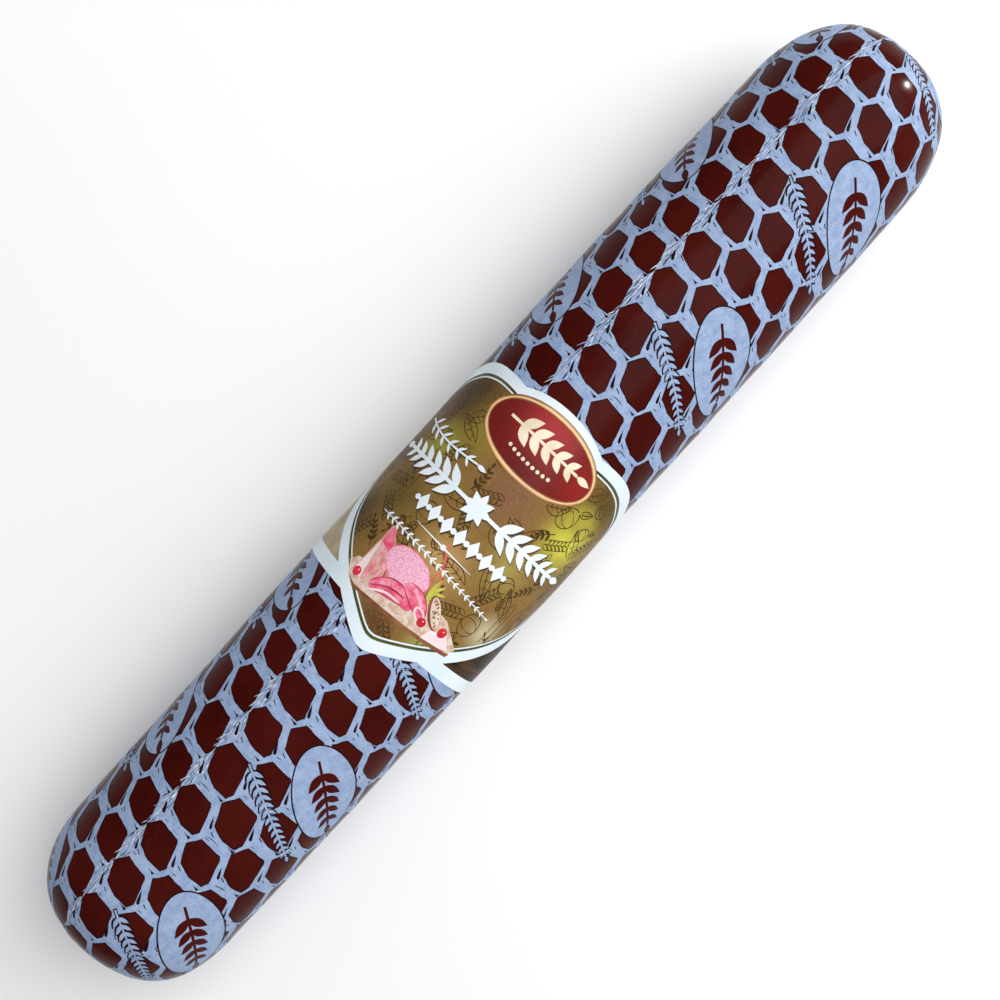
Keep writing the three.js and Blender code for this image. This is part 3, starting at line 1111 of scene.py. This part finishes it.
def label_shapes():
    """The label's print, painted in order: band, shield, drawings, ornaments and badge."""
    low_v, high_v = LAP_V - GIRTH, LAP_V + LAP_WIDTH
    low_u, high_u = BAND_EDGES
    inner_low, inner_high = low_u + BAND_BORDER, high_u - BAND_BORDER

    def block(u_from, u_to, v_from, v_to):
        return densify([(u_from, v_from), (u_to, v_from), (u_to, v_to), (u_from, v_to)], 1.5)

    shapes = [("white", block(low_u, high_u, low_v, high_v))]
    shapes.append(("cream", block(inner_low, inner_high, low_v, -24)))
    shapes.append(("wood", block(inner_low, inner_high, 20, high_v)))
    for i in range(7):
        seam_u = inner_low + (inner_high - inner_low) * (i + 0.5) / 7
        gap = [(seam_u, 20), (seam_u + 2.0, 36), (seam_u + 2.6, 56), (seam_u + 4.0, high_v)]
        gap = [(min(p, inner_high - 0.2), q) for p, q in gap]
        shapes.append(("plank_gap", stroke(gap, [0.4] * len(gap))))
    shapes += [("white", shield()), ("white", ellipse(BADGE_CENTRE, BADGE_LOBE, 0.0, 96))]
    shapes += [(kind, shield(inset)) for kind, inset in SHIELD_RINGS]
    shapes += line_drawings()
    shapes += food_picture()
    shapes += with_shadow(garland((-5.2, -2.6), 35.5, 8.4, 6))
    shapes += with_shadow(bead_row(-14.8, -19.0, 17.8, 3.1, 7))
    shapes += with_shadow(sprig("pale", (4.9, -26.5), 1.62, 30, 5.0, 6, 0.6, 1.8, 0.28))
    shapes.append(("pale", stroke([(-20.0, -13.7), (-20.3, -2.2), (-20.6, 9.2)], [0.1, 0.55, 0.1])))
    shapes.append(("pale", ellipse((-20.3, -2.2), (0.9, 0.9), 0, 16)))
    shapes += sprig("pale", (-25.9, -1.5), 1.625, 48, 2.3, 18, 0.26, -0.8, 0.34)
    shapes += badge()
    return shapes


# Two display colours for each printed kind, and the size of the flecks for each kind of meat.
LABEL_LOOKS = {
    "cream": ((160, 144, 118), (182, 166, 136)),
    "plank_gap": ((24, 14, 8), (38, 24, 14)),
    "frame": ((64, 66, 32), (84, 84, 46)),
    "line": ((58, 40, 16), (84, 62, 27)),
    "board_edge": ((96, 56, 34), (150, 96, 66)),
    "fat": ((232, 206, 208), (244, 226, 226)),
    "seed": ((196, 176, 158), (226, 208, 188)),
    "seed_rim": ((110, 58, 44), (150, 84, 62)),
    "green": ((150, 160, 54), (196, 196, 84)),
    "stalk": ((190, 84, 70), (222, 118, 92)),
    "berry": ((186, 26, 40), (222, 48, 58)),
    "deep_red": ((150, 36, 60), (196, 62, 88)),
    "shadow": ((62, 46, 26), (78, 58, 34)),
    "pale": ((222, 234, 242), (236, 242, 246)),
    "badge_edge": ((104, 60, 32), (140, 88, 50)),
    "badge_bright": ((236, 196, 146), (248, 216, 176)),
    "badge_pale": ((226, 208, 176), (240, 228, 204)),
}
MEAT_LOOKS = {
    "slice": ((238, 196, 212), (228, 142, 174), 150.0),
    "slice_rim": ((242, 170, 188), (222, 104, 132), 40.0),
    "roll": ((236, 132, 156), (214, 74, 106), 30.0),
    "wedge": ((222, 178, 168), (200, 128, 116), 22.0),
    "board": ((222, 204, 190), (196, 160, 138), 50.0),
}


def make_label():
    """The wrap label: a closed paper slab with its printed colours lying on it."""
    low_v, high_v = LAP_V - GIRTH, LAP_V + LAP_WIDTH
    fill = fill_grid((BAND_EDGES[0] - 9, low_v), (BADGE_CENTRE[0] + BADGE_LOBE[0], high_v), 1.7)
    arranged = arrange(label_shapes(), fill)
    make_label_stock(pick(arranged, set(arranged[2]) - {None}))
    looks = {"field": field_look(), "red": badge_look(), "gold": gold_look(), "wood": wood_look()}
    looks |= {kind: meat_look("label_" + kind, *values) for kind, values in MEAT_LOOKS.items()}
    for kind, colours in LABEL_LOOKS.items():
        looks[kind] = print_look(kind if kind.startswith("badge") else "label_" + kind, *colours)
    for kind, material in looks.items():
        flat = pick(arranged, {kind})
        printed_piece(material.name + "_print", flat, LABEL_PRINT_LIFT, material, "label", on_label)


def make_label_stock(flat):
    """The label's paper as a closed slab."""
    points, triangles = flat
    u, v = points[:, 0], points[:, 1]
    count = len(points)
    top = triangles[:, ::-1]
    normals = surface_normals(on_label, u, v, LABEL_LIFT)
    edges = dict.fromkeys((face[i], face[(i + 1) % 3]) for face in top.tolist() for i in range(3))
    rim = [(a, b) for a, b in edges if (b, a) not in edges]
    sides = np.array([side for a, b in rim for side in ((a, a + count, b + count), (a, b + count, b))])
    positions = np.vstack([on_label(u, v, LABEL_LIFT), on_label(u, v, LABEL_UNDERSIDE_LIFT)])
    corners = positions[sides]
    facing = np.cross(corners[:, 1] - corners[:, 0], corners[:, 2] - corners[:, 0])
    facing = facing / np.linalg.norm(facing, axis=1, keepdims=True)
    faces = np.vstack([top, triangles + count, sides])
    side_normals = np.repeat(facing[:, None], 3, axis=1)
    corner_normals = np.concatenate([normals[top], -normals[triangles], side_normals])
    places = np.vstack([points, points])[faces]
    look = print_look("label_paper", (214, 228, 236), (228, 238, 243), 5.0, 0.4)
    stock = make_mesh("label_stock", positions, faces, look, corner_normals, places)
    add_piece(stock, "label", "wrap_label")


# ---------------------------------------------------------------- the ends
def closed_tube(rings, last_hub_shift=0.0):
    """Places and faces of a tube through rings of places, closed at both ends by a fan round a hub."""
    around = len(rings[0])
    places = [place for ring in rings for place in ring]
    last = len(places) - around
    faces = []
    for start in range(0, last, around):
        for j in range(around):
            a, b = start + j, start + (j + 1) % around
            faces += [(a, b, b + around), (a, b + around, a + around)]
    for start, shift in ((0, 0.0), (last, last_hub_shift)):
        hub = len(places)
        middle = [sum(p[axis] for p in places[start:start + around]) / around for axis in range(3)]
        places.append((middle[0] + shift, middle[1], middle[2]))
        for j in range(around):
            a, b = start + j, start + (j + 1) % around
            faces.append((hub, b, a) if start == 0 else (hub, a, b))
    return np.array(places), faces


def make_tail(name, side):
    """The loose end of the film beyond the clip: a closed pleated frill that droops."""
    around, along = 184, 22
    start, end = CLIP_X - TAIL_START, TAIL_TIP_X
    rings = []
    for i in range(along + 1):
        t = i / along
        x = start + (end - start) * t
        reach = TAIL_RADIUS + TAIL_FLARE * smoothstep(t, 0.15, 0.9) - TAIL_CURL * smoothstep(t, 0.85, 1.0)
        depth = 0.10 + 0.30 * smoothstep(t, 0.1, 0.8)
        centre_z = AXIS_HEIGHT - NECK_DROP - TAIL_DROP * max(0.0, t - 0.3) ** 1.5 / 0.7 ** 1.5
        widening = 1 + 0.42 * smoothstep(t, 0.2, 0.9)
        flattening = 1 - 0.3 * smoothstep(t, 0.2, 0.9)
        ring = []
        for j in range(around):
            angle = 2 * math.pi * j / around
            fold = math.sin(PLEATS * angle + 1.4 * math.sin(3 * angle) + 0.8 * t)
            ragged = 0.25 * math.sin(7 * angle + 1.0) * smoothstep(t, 0.7, 1.0)
            radius = reach * (1 - depth * (0.5 + 0.5 * fold))
            ring.append((side * (x - abs(ragged)), radius * math.cos(angle) * widening,
                         centre_z + radius * math.sin(angle) * flattening))
        rings.append(ring)
    places, faces = closed_tube(rings, -TAIL_HOLLOW * side)
    if side > 0:
        faces = [face[::-1] for face in faces]
    add_piece(make_mesh(name, places * MM, faces, tail_look()), "casing")


def clip_path(loop, leg_gap):
    """The middle line of the bent wire across the neck: up one leg, round the loop and down the other."""
    opening = math.asin(leg_gap / loop)
    foot = -(loop + CLIP_LEG)
    knee = (foot - loop * math.cos(opening)) / 2
    turns = 40
    path = [(leg_gap, foot), (leg_gap, knee)]
    for i in range(turns + 1):
        angle = -math.pi / 2 + opening + (2 * math.pi - 2 * opening) * i / turns
        path.append((loop * math.cos(angle), loop * math.sin(angle)))
    return path + [(-leg_gap, knee), (-leg_gap, foot)]


def make_clip(name, side):
    """A flat wire bent once round the neck, its two legs pressed together below it."""
    half_width = CLIP_LENGTH / 2 - 0.02
    path = clip_path(NECK_RADIUS + 0.25 + WIRE_HALF_DEPTH, WIRE_HALF_DEPTH + WIRE_GAP)
    section = 24
    rings = []
    for i, (y, z) in enumerate(path):
        dy, dz = direction_at(path, i)
        out_y, out_z = dz, -dy
        ring = []
        for j in range(section):
            angle = 2 * math.pi * j / section
            p = math.copysign(abs(math.cos(angle)) ** 0.5, math.cos(angle)) * half_width
            q = math.copysign(abs(math.sin(angle)) ** 0.7, math.sin(angle)) * WIRE_HALF_DEPTH
            ring.append((side * CLIP_X + p, y + out_y * q, AXIS_HEIGHT - NECK_DROP + z + out_z * q))
        rings.append(ring)
    places, faces = closed_tube(rings)
    faces = [face[::-1] for face in faces]
    add_piece(make_mesh(name + "_wire", places * MM, faces, clip_look()), "clip", name)


# ---------------------------------------------------------------- floor, light and camera
def make_floor():
    """The plain table top."""
    half = 3.0
    corners = [(-half, -half, 0), (half, -half, 0), (half, half, 0), (-half, half, 0)]
    floor = make_mesh("floor", np.array(corners), [(0, 1, 2), (0, 2, 3)], floor_look())


def add_light(name, place, size, power):
    """A rectangular lamp facing the middle of the sausage."""
    lamp = bpy.data.lights.new(name, "AREA")
    lamp.shape = "RECTANGLE"
    lamp.size, lamp.size_y = size
    lamp.energy = power
    holder = bpy.data.objects.new(name, lamp)
    holder.location = place
    towards = Vector((0, 0, AXIS_HEIGHT * MM)) - Vector(place)
    holder.rotation_euler = towards.to_track_quat("-Z", "Y").to_euler()
    bpy.context.scene.collection.objects.link(holder)
    return holder


def light_scene():
    """A soft sky brighter on one side, a broad key lamp and a small low lamp for highlights only."""
    add_light("key", (0.64, -0.24, 1.0), (1.2, 1.4), 16.5)
    low = add_light("low", (1.45, -0.38, 0.40), (0.045, 0.045), 20.0)
    low.visible_diffuse = False
    world = bpy.data.worlds.new("sky")
    world.use_nodes = True
    sky = Nodes(world.node_tree)
    direction = sky.node("ShaderNodeTexCoord", "Generated", {})
    lean = sky.vector_math("DOT_PRODUCT", "Value", direction, BRIGHT_SKY)
    seen = sky.node("ShaderNodeLightPath", "Is Camera Ray", {})
    inputs = {"Factor": seen, "A": sky.spread(lean, *SKY_RANGE), "B": SKY_SEEN}
    background = sky.tree.nodes["Background"].inputs
    sky.put(background["Strength"], sky.node("ShaderNodeMix", "Result", inputs))
    sky.put(background["Color"], (0.97, 0.98, 1.0, 1.0))
    bpy.context.scene.world = world
    bpy.context.scene.view_settings.view_transform = "Standard"


def place_camera():
    """A camera straight above, turned so that the sausage lies from lower left to upper right."""
    lens = bpy.data.cameras.new("camera")
    lens.lens = 50
    lens.sensor_width = 36
    camera = bpy.data.objects.new("camera", lens)
    camera.location = (CAMERA_OVER[0] * MM, CAMERA_OVER[1] * MM, (AXIS_HEIGHT + CAMERA_ABOVE_AXIS) * MM)
    camera.rotation_euler = (0, 0, math.radians(CAMERA_TURN))
    bpy.context.scene.collection.objects.link(camera)
    bpy.context.scene.camera = camera


place_camera()
light_scene()
make_floor()
make_casing()
make_label()
for side_name, side_sign in (("right", 1), ("left", -1)):
    make_tail("casing_tail_" + side_name, side_sign)
    make_clip("clip_" + side_name, side_sign)
